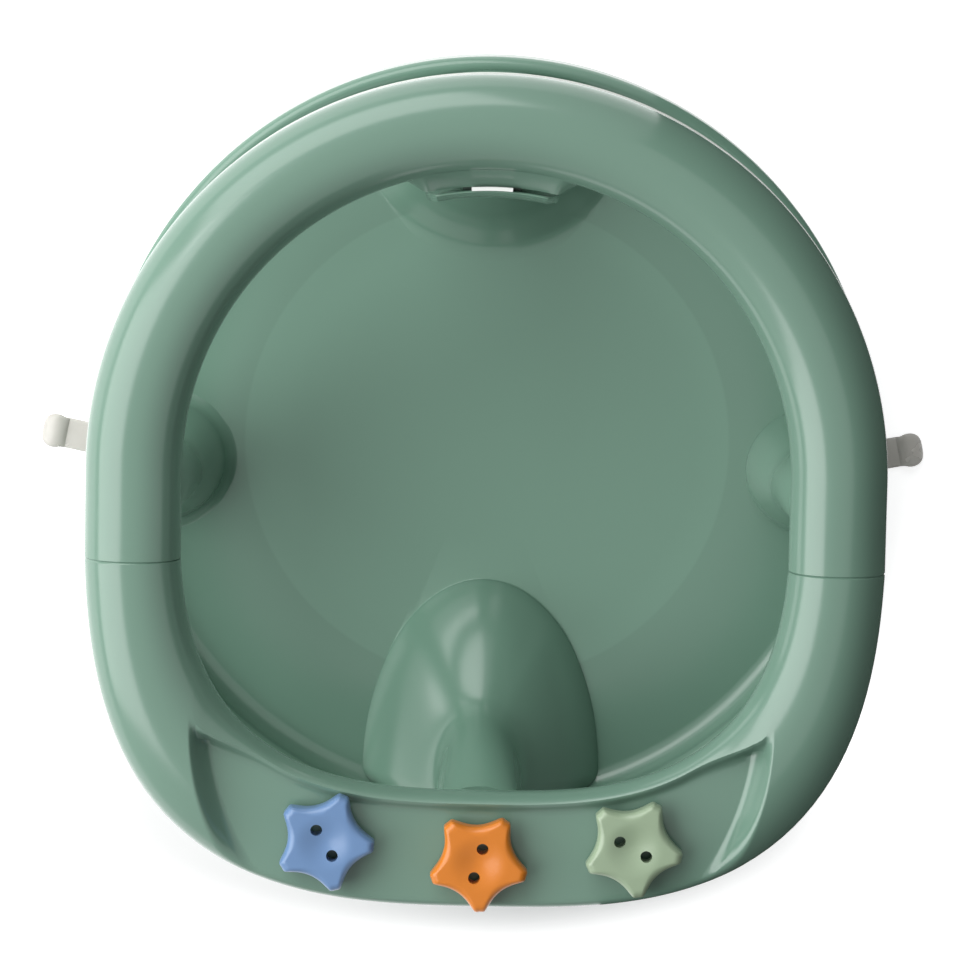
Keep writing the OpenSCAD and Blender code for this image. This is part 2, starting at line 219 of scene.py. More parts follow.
def roughen(paint, height, strength):
    """Feeds a bump to the shader's Normal."""
    sockets = {"Height": height, "Strength": strength, "Distance": PORE_DEPTH}
    paint.feed(paint.shader().inputs["Normal"], paint.node("ShaderNodeBump", None, sockets))


def floor_mask(paint, spot):
    """1 on the sunk disc, darker on the floor round it, and nearly 1 on what rises from the floor."""
    level = paint.node("ShaderNodeVectorMath", {"operation": "MULTIPLY"}, {0: spot, 1: (1, 1, 0)})
    centre = (0, SEAT_Y * MM, 0)
    away = paint.node("ShaderNodeVectorMath", {"operation": "DISTANCE"}, {0: level, 1: centre}, 1)
    disc = ramp(paint, away, DISC_R * MM - DISC_BLUR, DISC_R * MM + DISC_BLUR, 1.0, FLOOR_TONE)
    height = paint.node("ShaderNodeSeparateXYZ", None, {"Vector": spot}, 2)
    raised = ramp(paint, height, FLOOR_Z * MM, (FLOOR_Z + RAISED_FROM) * MM)
    return disc * (1 - raised) + raised * RAISED_TONE


def plastic(name, colour, roughness, drift=0.05, grain=0.02, tray=False):
    paint = Paint(bpy.data.materials.new(name))
    spot = paint.node("ShaderNodeTexCoord", output=3)
    clouds = noise(paint, spot, 9.0, 3.0)
    polish = noise(paint, spot, 38.0, 4.0)
    pores = noise(paint, spot, 900.0, 2.0)
    tone = clouds * (2 * drift) + (1 - drift)
    if tray:
        tone = tone * floor_mask(paint, spot)
    shader = paint.shader()
    paint.feed(shader.inputs["Base Color"], tone.blend(BLACK, colour))
    paint.feed(shader.inputs["Roughness"], polish * 0.08 + (roughness - 0.04))
    roughen(paint, pores, grain)
    shader.inputs["IOR"].default_value = 1.49
    return paint.owner


seat_plastic = plastic("seat_plastic", srgb(103, 136, 119), 0.2, drift=0.03, tray=True)
ring_plastic = plastic("ring_plastic", srgb(99, 128, 113), 0.19, drift=0.03)
catch_plastic = plastic("catch_plastic", srgb(236, 238, 235), 0.3)
# pale colour of the edge bead: a painted highlight on the ring's outer edge
painted_highlight_plastic = plastic("painted_highlight_plastic", srgb(206, 209, 204), 0.5)
blue_plastic = plastic("blue_plastic", srgb(95, 125, 164), 0.3, grain=0.1)
orange_plastic = plastic("orange_plastic", srgb(194, 112, 28), 0.3, grain=0.1)
pale_green_plastic = plastic("pale_green_plastic", srgb(137, 155, 129), 0.3, grain=0.1)
print("plastics", [m.name for m in bpy.data.materials if m.name.endswith("plastic")])

# %% [markdown]
# ## Steel and soft vinyl
# The screws and washers sit out of sight under the bar and inside the posts, but they show from below, so
# they get brushed steel and a pale nylon. The suction cups are clear soft vinyl: thick enough to look
# milky, with light passing through, which a share of transmission and a little scattering give.

# %% Steel, nylon and vinyl
def steel(name):
    paint = Paint(bpy.data.materials.new(name))
    spot = paint.node("ShaderNodeTexCoord", output=3)
    turning = noise(paint, spot, 700.0, 3.0)
    shader = paint.shader()
    paint.feed(shader.inputs["Base Color"], turning.blend(srgb(176, 178, 180), srgb(214, 215, 216)))
    paint.feed(shader.inputs["Roughness"], turning * 0.2 + 0.22)
    roughen(paint, turning, 0.1)
    shader.inputs["Metallic"].default_value = 1.0
    return paint.owner


def vinyl(name):
    paint = Paint(bpy.data.materials.new(name))
    spot = paint.node("ShaderNodeTexCoord", output=3)
    haze = noise(paint, spot, 60.0, 3.0)
    shader = paint.shader()
    paint.feed(shader.inputs["Base Color"], haze.blend(srgb(202, 199, 192), srgb(220, 218, 213)))
    paint.feed(shader.inputs["Roughness"], haze * 0.12 + 0.2)
    roughen(paint, noise(paint, spot, 900.0, 2.0), 0.05)
    shader.inputs["Transmission Weight"].default_value = 0.35
    shader.inputs["IOR"].default_value = 1.4
    shader.inputs["Subsurface Weight"].default_value = 0.4
    shader.inputs["Subsurface Radius"].default_value = (0.003, 0.003, 0.003)
    return paint.owner


screw_steel = steel("screw_steel")
washer_nylon = plastic("washer_nylon", srgb(222, 222, 216), 0.45)
cup_vinyl = vinyl("cup_vinyl")
print("screw, washer and cup finishes ready")

# %% [markdown]
# ## Skinning rows of points
# Nearly every moulded form here is a skin over rows of points: a tube is one section repeated along a
# path, a lathed part one row turned round, a post a stack of ovals. One helper joins the rows with quads.
# Another joins closed meshes into one watertight piece, the way the mould made it.

# %% Skins, lathed parts and unions
PIECES = {}


def skin(name, rows, around=True, ends=None):
    """Joins rows of points with quads. ends: "fan" closes both ends, "channel" closes a folded section."""
    count = len(rows[0])
    faces = []
    steps = count if around else count - 1
    for i in range(len(rows) - 1):
        for k in range(steps):
            a, b = i * count + k, i * count + (k + 1) % count
            faces.append((a, b, b + count, a + count))
    last = (len(rows) - 1) * count
    if ends == "fan":
        faces.append(tuple(range(count - 1, -1, -1)))
        faces.append(tuple(last + k for k in range(count)))
    if ends == "channel":
        for k in range(count // 2 - 1):
            a, b, c, d = k, k + 1, count - 2 - k, count - 1 - k
            faces.append((a, d, c, b))
            faces.append((last + a, last + b, last + c, last + d))
    mesh = bpy.data.meshes.new(name)
    mesh.from_pydata([place(*p) for row in rows for p in row], [], faces)
    mesh.validate()
    made = bpy.data.objects.new(name, mesh)
    bpy.context.scene.collection.objects.link(made)
    return made


def turned(radius, angle, z):
    return (radius * cos(radians(angle)), radius * sin(radians(angle)), z)


def lathed(name, outline, centre=(0, 0), steps=96):
    """A closed outline of (radius, height), turned round an upright axis."""
    rows = []
    for k in range(steps + 1):
        turn = 2 * pi * k / steps
        rows.append([(centre[0] + r * cos(turn), centre[1] + r * sin(turn), z) for r, z in outline])
    made = skin(name, rows)
    weld(made)
    return made


def weld(made, distance=0.00001):
    """Joins points that lie on each other, such as those on a lathe's axis, and turns faces outward."""
    work = bmesh.new()
    work.from_mesh(made.data)
    bmesh.ops.remove_doubles(work, verts=work.verts, dist=distance)
    bmesh.ops.dissolve_degenerate(work, edges=work.edges, dist=distance / 10)
    bmesh.ops.recalc_face_normals(work, faces=work.faces)
    work.to_mesh(made.data)
    work.free()


def cut_or_join(made, tools, operation):
    """Adds the tools to a mesh, or cuts them from it, and deletes them."""
    for tool in tools:
        step = made.modifiers.new(operation, "BOOLEAN")
        step.operation = operation
        step.solver = "MANIFOLD"
        step.object = tool
    done = made.evaluated_get(bpy.context.evaluated_depsgraph_get())
    mesh = bpy.data.meshes.new_from_object(done)
    made.modifiers.clear()
    made.data = mesh
    for tool in tools:
        bpy.data.objects.remove(tool)


def dress(made, material, body, nodes=(), sharp=32):
    """Gives a finished mesh its material and smooth shading, and its place in the model."""
    mesh = made.data
    mesh.materials.clear()
    mesh.materials.append(material)
    for face in mesh.polygons:
        face.use_smooth = True
    mesh.set_sharp_from_angle(angle=radians(sharp))
    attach(made, body)
    if nodes:
        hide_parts(*nodes)
    PIECES[made.name] = len(mesh.polygons)
    print(made.name, "faces", len(mesh.polygons))


# %% [markdown]
# ## The tube of the arm ring
# The ring is a channel, open below: a tube whose section is a slightly squared oval that stops under its
# widest level. Points go round the outside of the wall and back along its inside. Moulds leave a small
# bevel where two pieces meet, and the section takes that as a cut that makes the tube thinner.

# %% The tube's section
SECTION_STEPS = 96


def tube_angle(share):
    return radians(mix(-LIP_ANGLE, 180 + LIP_ANGLE, share))


def tube_point(share, half, rise):
    """(across, height) on the tube: share 0 is the outer lip, 1 the inner lip."""
    turn = tube_angle(share)
    return half * bend(cos(turn), 2 / TUBE_N), rise * bend(sin(turn), 2 / TUBE_N)


def channel(cut=0.0):
    """The closed section of the ring as (radius, height) points."""
    shares = [k / (SECTION_STEPS - 1) for k in range(SECTION_STEPS)]
    outside = [tube_point(s, TUBE_W / 2 - cut, TUBE_RISE - cut) for s in shares]
    thin = cut + WALL
    inside = [tube_point(s, TUBE_W / 2 - thin, TUBE_RISE - thin) for s in reversed(shares)]
    return [(LINE_R + x, RING_Z + z) for x, z in outside + inside]


print("section points", len(channel()))

# %% [markdown]
# ## The C-shaped ring
# Along its path the section goes straight from the right seam, half a turn round the back, and straight to
# the left seam. At each seam a tongue, one wall further in, slides into the front bar, and at the back a
# flange hooks over the tall post. Bosses under the tube take the post screws.

# %% Build the ring
SEAM_BEVEL = 0.5            # how much thinner the tube is right at a seam
TONGUE_LONG = 10            # reach of the seam tongues into the bar
TONGUE_ROOT = 8             # and back into the ring
TONGUE_CLEAR = 0.8          # room round them
POST_R = LINE_R - 1.5       # distance of the ring's posts from the centre
SIDE_TURN = 4               # the side posts stand so many degrees in front of the centre
FLANGE = 6.6                # reach of the flange at the back
FLANGE_LOW = -5             # its lowest level and its highest one, from the tube's widest level
FLANGE_HIGH = 9.6
FLANGE_FADE = 4.5           # degrees in which it fades into the tube at each end
SLOT_W = 1.6
TONGUE_R = INNER_R - FLANGE - SLOT_W
TONGUE_HALF_ANGLE = 12.6
BOSS_R = 6
SCREW_R = 2
SCREW_DEPTH = 13


def ring_rows(steps=128):
    stops = [(SEAM_Y, SEAM_BEVEL), (SEAM_Y - SEAM_BEVEL, 0)]
    stops += [(SEAM_Y * k / 8, 0) for k in range(7, 0, -1)]
    right = [[(r, -y, z) for r, z in channel(cut)] for y, cut in stops]
    back = [[turned(r, 180 * k / steps, z) for r, z in channel()] for k in range(steps + 1)]
    left = [[(-r, -y, z) for r, z in channel(cut)] for y, cut in reversed(stops)]
    return right + back + left


def stretch(name, side, start, end, cut):
    """A straight piece of channel beside the seat."""
    ys = (start, end) if side > 0 else (end, start)
    return skin(name, [[(side * r, -y, z) for r, z in channel(cut)] for y in ys], ends="channel")


def flange_rows(steps=72):
    """Sections of the flange, which grows out of the tube's inner side and fades into it at both ends."""
    rows = []
    half = TONGUE_HALF_ANGLE + FLANGE_FADE
    shares = [j / 12 for j in range(13)]
    for k in range(steps + 1):
        off = half * (1 - 2 * k / steps)
        edge = INNER_R - mix(-0.6, FLANGE, ease((half - abs(off)) / FLANGE_FADE))
        section = [(edge, FLANGE_LOW), (INNER_R + 1.5, FLANGE_LOW), (INNER_R + 3, 9)]
        for share in shares:
            level = mix(FLANGE_HIGH, FLANGE_LOW + 2, share ** 0.8)
            section.append((mix(INNER_R + 2.2, edge, share), level))
        rows.append([turned(r, 90 + off, RING_Z + z) for r, z in section])
    return rows


def peg(name, radius, low, high, spot):
    """A plain round tool or boss on an upright axis."""
    return lathed(name, [(0, low), (radius, low), (radius, high), (0, high)], spot, 48)


def spot_at(turn, distance):
    return (distance * cos(radians(turn)), distance * sin(radians(turn)))


RING_SPOTS = [spot_at(turn, POST_R) for turn in (-SIDE_TURN, 180 + SIDE_TURN, 90)]
ring = skin("arm_ring", ring_rows(), ends="channel")
weld(ring)
extras = []
for side in (1, -1):
    root = SEAM_Y - TONGUE_ROOT
    extras.append(stretch("tongue", side, root, SEAM_Y + TONGUE_LONG, WALL + TONGUE_CLEAR))
    extras.append(stretch("root", side, root, SEAM_Y - 0.6, WALL - 0.4))
extras.append(skin("flange", flange_rows(), ends="fan"))
for spot in RING_SPOTS:
    extras.append(peg("boss", BOSS_R, LIP_Z, RING_Z + TUBE_RISE - WALL / 2, spot))
for piece in extras:
    weld(piece)
cut_or_join(ring, extras, "UNION")
screw_holes = [peg("hole", SCREW_R, LIP_Z - 1, LIP_Z + SCREW_DEPTH, spot) for spot in RING_SPOTS]
cut_or_join(ring, screw_holes, "DIFFERENCE")
dress(ring, ring_plastic, "seat", ["ring_back"])

# %% [markdown]
# ## The pale bead, a painted highlight
# Round the back half of the ring runs a thin pale line: a bead whose pale colour is a painted highlight,
# the light that the ring's outer edge catches there. It is one narrow strip of ovals, half sunk in the tube
# and thinning out at both ends.

# %% Build the bead
BEAD_TURN = 25              # degrees from the side to each end of the bead
BEAD_R = RING_R - 0.5
BEAD_Z = RING_Z - 7
BEAD_THIN = 0.4             # half its thickness near its ends, and at its thickest place
BEAD_THICK = 0.8


def bead_rows(steps=150):
    rows = []
    oval = [(cos(a), sin(a)) for a in (2 * pi * j / 16 for j in range(16))]
    for k in range(steps + 1):
        share = k / steps
        swell = mix(BEAD_THIN, BEAD_THICK, sin(pi * min(1, 1.25 * share)))
        thick = swell * min(1, 12 * min(share, 1 - share)) + 0.05
        turn = mix(BEAD_TURN, 180 - BEAD_TURN, share)
        rows.append([turned(BEAD_R + thick * x, turn, BEAD_Z + 0.8 * thick * z) for x, z in oval])
    return rows


# the bead's pale colour is a painted highlight along the ring's outer edge
bead = skin("ring_bead", bead_rows(), ends="fan")
weld(bead)
dress(bead, painted_highlight_plastic, "seat")

# %% [markdown]
# ## The front bar
# The bar starts as the same tube and widens to a flat panel with a small lip behind it. Seen from above, its
# two edges are halves of squared ovals. A row of points crosses the bar at each of many stops: stop 0 is the
# right seam, 1 the crease where the tube drops to the panel, 2 the middle. Between tube and panel every
# point slides from one section to the other, so the surface stays in one piece.

# %% Outlines of the bar seen from above
OUTLINE_N = 2.95            # how square the two outlines are, 2 is an ellipse
OUTLINE_Y = 4               # their middle lies so far in front of the centre
PANEL_UP = 8                # height of the panel above the tube's widest level
LIP_W = 6
LIP_RISE = 3                # height of the lip above the panel
PANEL_EDGE = 0.14           # radius of the panel's outer edge, as a share of half the bar's depth
CREASE_IN = 33              # degrees at which the crease meets the inner and the outer outline
CREASE_OUT = 60


class Outline:
    """A squared half oval in front of the seat that passes through the seams."""

    def __init__(self, half, reach):
        self.reach = reach
        self.half = half / (1 - ((SEAM_Y - OUTLINE_Y) / reach) ** OUTLINE_N) ** (1 / OUTLINE_N)
        self.start = atan((SEAM_Y - OUTLINE_Y) / half) * 180 / pi

    def point(self, degrees):
        c, s = cos(radians(degrees)), sin(radians(degrees))
        size = (abs(c / self.half) ** OUTLINE_N + abs(s / self.reach) ** OUTLINE_N) ** (-1 / OUTLINE_N)
        return Vector((size * c, -OUTLINE_Y - size * s))


outer_line = Outline(RING_R, BAR_REACH - OUTLINE_Y)
inner_line = Outline(INNER_R, BAR_REACH - OUTLINE_Y - BAR_DEPTH)


def near(stop):
    """The same stop on the right half."""
    return 4 - stop if stop > 2 else stop


def stop_angle(stop, start, crease):
    if stop > 2:
        return 180 - stop_angle(4 - stop, start, crease)
    return mix(start, crease, stop) if stop < 1 else mix(crease, 90, stop - 1)


def bar_spot(across, height, stop):
    """Puts a point of the section in its place. across runs from -1 inside to 1 outside."""
    share = (across + 1) / 2
    turn_in = stop_angle(stop, inner_line.start, CREASE_IN)
    turn_out = stop_angle(stop, outer_line.start, CREASE_OUT)
    turn = mix(turn_in, turn_out, share)
    straight = inner_line.point(turn_in).lerp(outer_line.point(turn_out), share)
    fanned = inner_line.point(turn).lerp(outer_line.point(turn), share)
    spot = straight.lerp(fanned, ease(2 * near(stop)))
    return (spot.x, spot.y, RING_Z + height)


print("bar half widths", round(outer_line.half, 2), round(inner_line.half, 2))

# %% [markdown]
# ## Sections of the bar
# On the panel a section has four parts: a round outer edge, the flat, the rise to the lip, and the lip's
# round side, which is the tube's own side made lower and narrower. Between the tube and the panel both
# sections are worked out, and each point slides from its place on one to its place on the other.

# %% Sections of the bar
CREASE_START = 0.925        # stops between which the tube turns into the panel
CREASE_END = 1.07
LIP_START = 0.56            # where the lip starts and tops, as shares of the half turn over the bar
LIP_TOP = 0.64
LIP_FALL_START = 0.95       # stop where the lip starts to fall, and in how many stops it falls
LIP_FALL_LONG = 0.38
EDGE_END = 0.16             # where the round outer edge ends, as a share of the half turn
LIP_SOFT = 1.3 * LIP_W / BAR_DEPTH
CREST_ANGLE = 180 * LIP_TOP
CREST_X = abs(cos(radians(CREST_ANGLE))) ** (2 / TUBE_N)
CREST_Z = sin(radians(CREST_ANGLE)) ** (2 / TUBE_N)


def panel_share(stop):
    """0 on the round tube, 1 on the panel, with a sharper end at the panel."""
    s = min(1, max(0, (near(stop) - CREASE_START) / (CREASE_END - CREASE_START)))
    return mix(ease(s), s, 0.35 * s)


def lip_fall(stop):
    """How far the lip has fallen from the tube's own side, from 0 at the crease to 1."""
    return ease((near(stop) - LIP_FALL_START) / LIP_FALL_LONG)


def lip_crest(stop):
    """(across, height) of the lip's crest. It leaves the tube's inner side and falls past the crease."""
    fall = lip_fall(stop)
    return mix(-CREST_X, LIP_SOFT - 1, fall), mix(TUBE_RISE * CREST_Z, PANEL_UP + LIP_RISE, fall)


def panel_point(share, stop):
    """(across, height) on the panel's section, from its outer edge over the flat to the lip."""
    s = mix(-LIP_ANGLE, 180 + LIP_ANGLE, share) / 180
    x, z = lip_crest(stop)
    foot = x + mix(0.12, LIP_SOFT, lip_fall(stop))
    if s < 0 or s > 1:
        return tube_point(share, 1, TUBE_RISE)
    if s < EDGE_END:
        turn = radians(90 * s / EDGE_END)
        return 1 - PANEL_EDGE * (1 - cos(turn)), PANEL_UP * sin(turn)
    if s < LIP_START:
        return mix(1 - PANEL_EDGE, foot, (s - EDGE_END) / (LIP_START - EDGE_END)), PANEL_UP
    if s < LIP_TOP:
        v = (s - LIP_START) / (LIP_TOP - LIP_START)
        return mix(foot, x, v), mix(PANEL_UP, z, ease(v))
    turn = radians(mix(CREST_ANGLE, 180, (s - LIP_TOP) / (1 - LIP_TOP)))
    inward = (abs(cos(turn)) ** (2 / TUBE_N) - CREST_X) / (1 - CREST_X)
    return mix(x, -1, inward), z * (max(0, sin(turn)) ** (2 / TUBE_N)) / CREST_Z


def bar_section(stop, cut=0.0):
    shares = [k / (SECTION_STEPS - 1) for k in range(SECTION_STEPS)]
    slim = 1 - 2 * WALL / TUBE_W
    panel = panel_share(stop)
    row = []
    for s in shares:
        x, z = tube_point(s, 1 - 2 * cut / TUBE_W, TUBE_RISE - cut)
        px, pz = panel_point(s, stop)
        row.append((mix(x, px, panel), mix(z, pz, panel)))
    for s in reversed(shares):
        x, z = tube_point(s, slim, TUBE_RISE - WALL)
        row.append((x, mix(z, min(z, PANEL_UP - WALL), panel)))
    return [bar_spot(x, z, stop) for x, z in row]


print("points in a section of the bar", len(bar_section(2)))

# %% [markdown]
# ## Build the bar
# The stops lie closest where the tube turns into the panel, because the form changes fastest there. The
# last rows at both seams are a little thinner, which makes the bevel. Then come a boss for the post's screw
# and three bores for the stars.

# %% Build the bar
HUB_R = 3.5
HUB_CLEAR = 0.06
STAR_PITCH = 65.5           # sideways spacing of the stars
STAR_BACK = 7.5             # how far the side stars stand behind the middle one
STAR_Y = BAR_REACH - (BAR_DEPTH - LIP_W) / 2
STAR_SPOTS = [(-STAR_PITCH, STAR_BACK - STAR_Y), (0, -STAR_Y), (STAR_PITCH, STAR_BACK - STAR_Y)]
FRONT_SCREW_Y = BAR_REACH - BAR_DEPTH + 12.5
FRONT_SPOT = (0, -FRONT_SCREW_Y)
PANEL_Z = RING_Z + PANEL_UP
PANEL_UNDER = PANEL_Z - WALL
BEVEL_STOP = SEAM_BEVEL / 85    # the bevel's width as a share of a stop, which is about 85 mm long there
right_stops = [0.012 + k * 0.888 / 22 for k in range(23)]
right_stops += [0.905 + k * 0.18 / 30 for k in range(31)]
right_stops += [1.085 + 0.915 * (k + 1) / 46 for k in range(46)]
stops = right_stops + [4 - s for s in reversed(right_stops[:-1])]
rows = [bar_section(0, SEAM_BEVEL), bar_section(BEVEL_STOP)]
rows += [bar_section(s) for s in stops]
rows += [bar_section(4 - BEVEL_STOP), bar_section(4, SEAM_BEVEL)]
bar = skin("play_bar", rows, ends="channel")
weld(bar)
cut_or_join(bar, [peg("boss", BOSS_R, LIP_Z, PANEL_UNDER + 1, FRONT_SPOT)], "UNION")
holes = [peg("bore", HUB_R + HUB_CLEAR, RING_Z, RING_Z + 2 * TUBE_RISE, spot) for spot in STAR_SPOTS]
holes.append(peg("bore", SCREW_R, LIP_Z - 1, LIP_Z + SCREW_DEPTH, FRONT_SPOT))
cut_or_join(bar, holes, "DIFFERENCE")
dress(bar, ring_plastic, "seat", ["front_bar"])

# %% [markdown]
# ## The tray
# The base is a lathed tray: a sunk disc whose edge is a wide soft step, a bowl that curves up to the rim, and
# a skirt outside.

# %% The tray's outline
SKIRT_Z = 13                # lower edge of the skirt
DISC_SINK = 1.2
DISC_EDGE = 30              # width of the soft step at the disc's edge
BOWL_R = 9
RIM_R = 4


def arc(centre, radius, start, end, steps):
    turns = [radians(mix(start, end, k / steps)) for k in range(steps + 1)]
    return [(centre[0] + radius * cos(turn), centre[1] + radius * sin(turn)) for turn in turns]


def tray_outline():
    centre = (BASE_R - 2 * RIM_R - BOWL_R, FLOOR_Z + BOWL_R)
    disc_z = FLOOR_Z - DISC_SINK
    outline = [(r, disc_z) for r in (0, DISC_R * 0.4, DISC_R * 0.75)]
    for share in [k / 10 for k in range(11)]:
        outline.append((DISC_R + DISC_EDGE * (share - 0.5), FLOOR_Z - DISC_SINK * (1 - ease(share))))
    outline += arc(centre, BOWL_R, -90, -10, 20)
    outline += arc((BASE_R - RIM_R, RIM_Z - RIM_R), RIM_R, 180, 0, 20)
    outline += [(BASE_R, SKIRT_Z), (BASE_R - WALL, SKIRT_Z), (BASE_R - WALL, RIM_Z - 2 * RIM_R)]
    outline += arc(centre, BOWL_R + WALL, -10, -90, 20)
    outline += [(DISC_R + 0.8, FLOOR_Z - WALL), (DISC_R - 0.8, FLOOR_Z - WALL - DISC_SINK)]
    return outline + [(0, FLOOR_Z - WALL - DISC_SINK)]


print("tray outline points", len(tray_outline()))

# %% [markdown]
# ## The posts
# Four posts rise from the tray. Each is a stack of ovals, wide at the foot and narrow at the top, with a
# round shoulder low down and a fillet where it leaves the floor. They are hollow, since an even wall cools
# evenly in the mould, and a column inside each holds a screw.

# %% The posts as stacks of ovals
PLATE_T = 4                 # thickness of a post's top plate
POST_HALF = 18
POST_N = 2.0                # how square the ovals are, 2 is an ellipse
POST_HEIGHT = LIP_Z - FLOOR_Z
TONGUE_T = 3.6
COLUMN_R = 7.6
COLUMN_LOW = 16
HOLE_R = 4.6
SCREW_CLEAR_R = 2.25
SHOULDER = 0.36             # level of the shoulder, as a share of the post's height
SHOULDER_SHARP = 12         # how tightly the shoulder turns
STACK_STEPS = 44
STACK_CROWD = 1.3           # above 1 the ovals crowd towards the foot

# turn: degrees round the seat. out: the screw's distance from the centre. foot and foot_half: inner edge
# and half width at the floor. top and top_half: the same on top. lean: how far the column leans inward.
# fillet: the radius of the foot's flare.
Post = namedtuple("Post", "turn out foot foot_half top top_half lean fillet")
SIDE_TOP = POST_R - POST_HALF
FRONT_TOP = BAR_REACH - BAR_DEPTH + 1
POSTS = [
    Post(-90, FRONT_SCREW_Y, 62, 53, FRONT_TOP, POST_HALF, 34, 0.9),
    Post(-SIDE_TURN, POST_R, 116, 29, SIDE_TOP, POST_HALF, 8, 0.9),
    Post(180 + SIDE_TURN, POST_R, 116, 29, SIDE_TOP, POST_HALF, 8, 8),
    Post(90, POST_R, 96, 52, TONGUE_R - TONGUE_T, 28, 0, 16),
]


def post_share(level):
    """Share of the way from the foot's form to the column's at a level from 0 to 1."""
    rise = max(0.001, level / SHOULDER) ** 1.25
    return (rise ** -SHOULDER_SHARP + 1) ** (-1 / SHOULDER_SHARP)


def post_oval(level, post, cut, steps=112):
    """A post's outline at a level, made smaller all round by cut."""
    share = post_share(level + cut / 2 / POST_HEIGHT)
    half = mix(post.foot_half, post.top_half, share) - cut
    inward = post.out - mix(post.foot, post.top - post.lean * (1 - level), share) - cut
    outward = mix(BASE_R - 6, post.out + POST_HALF, ease(level)) - post.out - max(cut, -1)
    spin = Matrix.Rotation(radians(post.turn), 2)
    row = []
    for k in range(steps):
        c, s = cos(2 * pi * k / steps), sin(2 * pi * k / steps)
        x = post.out + (inward if c < 0 else outward) * bend(c, 2 / POST_N)
        spot = spin @ Vector((x, half * bend(s, 2 / POST_N)))
        row.append((spot.x, spot.y, mix(FLOOR_Z, LIP_Z, level)))
    return row


def post_stack(low, high, post, cut):
    """Ovals from one level to another."""
    shares = [(k / STACK_STEPS) ** STACK_CROWD for k in range(STACK_STEPS + 1)]
    return [post_oval(mix(low, high, share), post, cut) for share in shares]


def post_with_fillet(post):
    """The outside of a post, with a foot that flares out to meet the floor."""
    low = -(DISC_SINK + 0.05) / POST_HEIGHT
    rows = []
    for k in range(16):
        turn = radians(6 * k)
        rise = post.fillet * (1 - cos(turn))
        rows.append(post_oval(low + rise / POST_HEIGHT, post, -post.fillet * (1 - sin(turn))))
    rows += post_stack(low + post.fillet / POST_HEIGHT, 1, post, 0)[1:]
    return skin("post", rows, ends="fan")


print("posts", len(POSTS))

# %% [markdown]
# ## Join the tray
# The posts are joined to the tray, their cavities cut out from below, and the screw columns put in. The
# upper end of the back post is a curved plate, the tongue that stands inside the ring's back edge. The
# bores come last, because they go through everything.

# %% Join the tray
tray = lathed("seat_tray", tray_outline(), steps=256)
posts = [post_with_fillet(p) for p in POSTS]
cavity_top = 1 - PLATE_T / POST_HEIGHT
cavities = [skin("cavity", post_stack(-0.1, cavity_top, p, WALL), ends="fan") for p in POSTS]
screw_spots = [spot_at(p.turn, p.out) for p in POSTS]
columns = [peg("column", COLUMN_R, COLUMN_LOW, LIP_Z - 1, spot) for spot in screw_spots]
bores = [peg("bore", HOLE_R, COLUMN_LOW - 1, LIP_Z - PLATE_T, spot) for spot in screw_spots]
bores += [peg("bore", SCREW_CLEAR_R, 0, LIP_Z + 1, spot) for spot in screw_spots]
cut_or_join(tray, posts, "UNION")
cut_or_join(tray, cavities, "DIFFERENCE")
cut_or_join(tray, columns, "UNION")


def tongue_rows(steps=48):
    """A curved plate with a round top edge that slopes down inward and falls away at both ends."""
    low, crown_r = LIP_Z - 20, 0.6
    half = TONGUE_HALF_ANGLE + 1
    rows = []
    for k in range(steps + 1):
        off = half * (1 - 2 * k / steps)
        top = mix(LIP_Z - 6, RING_Z - 2.5, ease((half - abs(off)) / 2.5))
        section = [(TONGUE_R - TONGUE_T, low), (TONGUE_R, low)]
        section += arc((TONGUE_R - crown_r, top - crown_r), crown_r, 0, 120, 8)
        section.append((TONGUE_R - TONGUE_T, top - 9))
        rows.append([turned(r, 90 + off, z) for r, z in section])
    return rows


tongue = skin("tongue", tongue_rows(), ends="fan")
weld(tongue)
cut_or_join(tray, [tongue], "UNION")
cut_or_join(tray, bores, "DIFFERENCE")
dress(tray, seat_plastic, "seat", ["seat_base"])

# %% [markdown]
# ## The stars
# Each star button is a thick five-pointed star with blunt tips, hollow sides, a wide soft edge and a dished
# top with two holes. A collar lifts its tips over the lip. Its outline is one formula: arcs about points
# outside the star, blended into a circle through the tips. Rows of that outline, moved in and up, make the
# sides, the round edge and the dish.

# %% Build the stars
STAR_R = 21.2               # to the tips
STAR_VALLEY_R = 15.6        # to the middle of each hollow side
STAR_H = 9
STAR_HOLE_D = 5
STAR_HOLE_GAP = 12.9
STAR_HOLLOW_R = 16          # radius of the arcs that make the hollow sides
TIP_ROUND = 11              # the higher, the sharper the corners of a tip
STAR_CLEAR = 0.4            # room under the collar
STAR_LIFT = LIP_RISE + STAR_CLEAR
STAR_LOW = PANEL_Z + STAR_LIFT
COLLAR_R = HUB_R + 2
DISH = 2.0                  # depth and radius of the dish
DISH_R = 12.5
STAR_EDGE = 3.4             # radius of the round edge
HUB_LOW = PANEL_UNDER - 0.25
STAR_SCREW_R = 1.25
STAR_SCREW_TOP = 9.5
STAR_TURNS = [122, 254.8, -28.4]


def star_edge(degrees):
    """The star's radius in a direction."""
    off = radians(abs((degrees - 90) % 72 - 36))
    reach = STAR_VALLEY_R + STAR_HOLLOW_R
    side = reach * cos(off) - sqrt(max(0, STAR_HOLLOW_R ** 2 - (reach * sin(off)) ** 2))
    return (side ** -TIP_ROUND + (STAR_R * 1.01) ** -TIP_ROUND) ** (-1 / TIP_ROUND)


